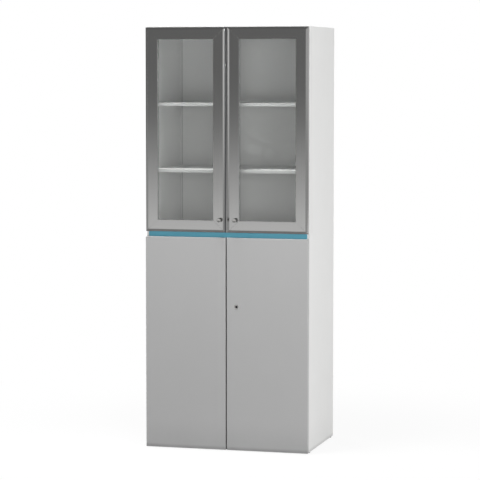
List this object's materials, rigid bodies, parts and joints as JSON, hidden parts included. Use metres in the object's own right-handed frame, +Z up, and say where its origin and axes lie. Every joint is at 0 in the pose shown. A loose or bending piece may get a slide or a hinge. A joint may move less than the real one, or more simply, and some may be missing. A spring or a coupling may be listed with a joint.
{
  "type": "medical cabinet",
  "caption": "Tall free-standing clinic cabinet: framed glass doors with knobs above a blue accent strip, plain lockable doors below, shelves inside, concealed hinges.",
  "frame": {"origin": "on the floor, under the middle of the cabinet with its knobs", "axes": "+Z up, +Y towards the back, +X to the right as seen from the front"},
  "size_m": [0.8, 0.558, 2.02],
  "materials": {
    "white_board": "white melamine-faced board",
    "grey_board": "light grey melamine-faced board",
    "frame_metal": "satin anodised",
    "glass": "clear float glass",
    "gasket": "matt",
    "blue_strip": "satin blue",
    "satin_nickel": "satin nickel",
    "hinge_steel": "nickel plated",
    "lock_dark": "dark satin",
    "glide_plastic": "moulded"
  },
  "bodies": {
    "carcass": {"side_panel_left": "white_board", "side_panel_right": "white_board", "top_panel": "white_board", "bottom_panel": "white_board", "divider_panel": "white_board", "accent_strip": "blue_strip", "back_panel": "white_board", "upper_shelf_low": "white_board", "upper_shelf_high": "white_board", "lower_shelf": "white_board", "shelf_support_low_left_front": "satin_nickel", "shelf_support_low_left_rear": "satin_nickel", "shelf_support_low_right_front": "satin_nickel", "shelf_support_low_right_rear": "satin_nickel", "shelf_support_high_left_front": "satin_nickel", "shelf_support_high_left_rear": "satin_nickel", "shelf_support_high_right_front": "satin_nickel", "shelf_support_high_right_rear": "satin_nickel", "glide_left_front": "glide_plastic", "glide_left_rear": "glide_plastic", "glide_right_front": "glide_plastic", "glide_right_rear": "glide_plastic", "hinge_arm_upper_left_bottom": "hinge_steel", "hinge_arm_upper_left_top": "hinge_steel", "hinge_arm_upper_right_bottom": "hinge_steel", "hinge_arm_upper_right_top": "hinge_steel", "hinge_arm_lower_left_bottom": "hinge_steel", "hinge_arm_lower_left_top": "hinge_steel", "hinge_arm_lower_right_bottom": "hinge_steel", "hinge_arm_lower_right_top": "hinge_steel"},
    "upper_left_door": {"frame_left_outer_stile": "frame_metal", "frame_left_inner_stile": "frame_metal", "frame_left_top_rail": "frame_metal", "frame_left_bottom_rail": "frame_metal", "glass_left": "glass", "gasket_left": "gasket", "knob_left": "satin_nickel", "hinge_cup_upper_left_bottom": "hinge_steel", "hinge_cup_upper_left_top": "hinge_steel"},
    "upper_right_door": {"frame_right_outer_stile": "frame_metal", "frame_right_inner_stile": "frame_metal", "frame_right_top_rail": "frame_metal", "frame_right_bottom_rail": "frame_metal", "glass_right": "glass", "gasket_right": "gasket", "knob_right": "satin_nickel", "hinge_cup_upper_right_bottom": "hinge_steel", "hinge_cup_upper_right_top": "hinge_steel"},
    "lower_left_door": {"lower_door_left": "grey_board", "bolt_body": "hinge_steel", "hinge_cup_lower_left_bottom": "hinge_steel", "hinge_cup_lower_left_top": "hinge_steel"},
    "lower_right_door": {"lower_door_right": "grey_board", "lock_housing": "satin_nickel", "lock_nut": "hinge_steel", "hinge_cup_lower_right_bottom": "hinge_steel", "hinge_cup_lower_right_top": "hinge_steel"},
    "lock_barrel": {"lock_plug": "lock_dark", "lock_cam": "hinge_steel"},
    "bolt": {"bolt_slider": "hinge_steel"}
  },
  "joints": [
    {"name": "upper_left_door_swing", "type": "hinge", "parent": "carcass", "child": "upper_left_door", "pos_m": [-0.393, -0.244, 1.532], "axis": [0, 0, -1], "range_deg": [0, 100]},
    {"name": "upper_right_door_swing", "type": "hinge", "parent": "carcass", "child": "upper_right_door", "pos_m": [0.393, -0.244, 1.532], "axis": [0, 0, 1], "range_deg": [0, 100]},
    {"name": "lower_left_door_swing", "type": "hinge", "parent": "carcass", "child": "lower_left_door", "pos_m": [-0.393, -0.244, 0.51325], "axis": [0, 0, -1], "range_deg": [0, 100]},
    {"name": "lower_right_door_swing", "type": "hinge", "parent": "carcass", "child": "lower_right_door", "pos_m": [0.393, -0.244, 0.51325], "axis": [0, 0, 1], "range_deg": [0, 100]},
    {"name": "lock_turn", "type": "hinge", "parent": "lower_right_door", "child": "lock_barrel", "pos_m": [0.0515, -0.241, 0.6935], "axis": [0, 1, 0], "range_deg": [0, 90]},
    {"name": "bolt_slide", "type": "slide", "parent": "lower_left_door", "child": "bolt", "axis": [0, 0, 1], "range_m": [0, 0.012]}
  ]
}
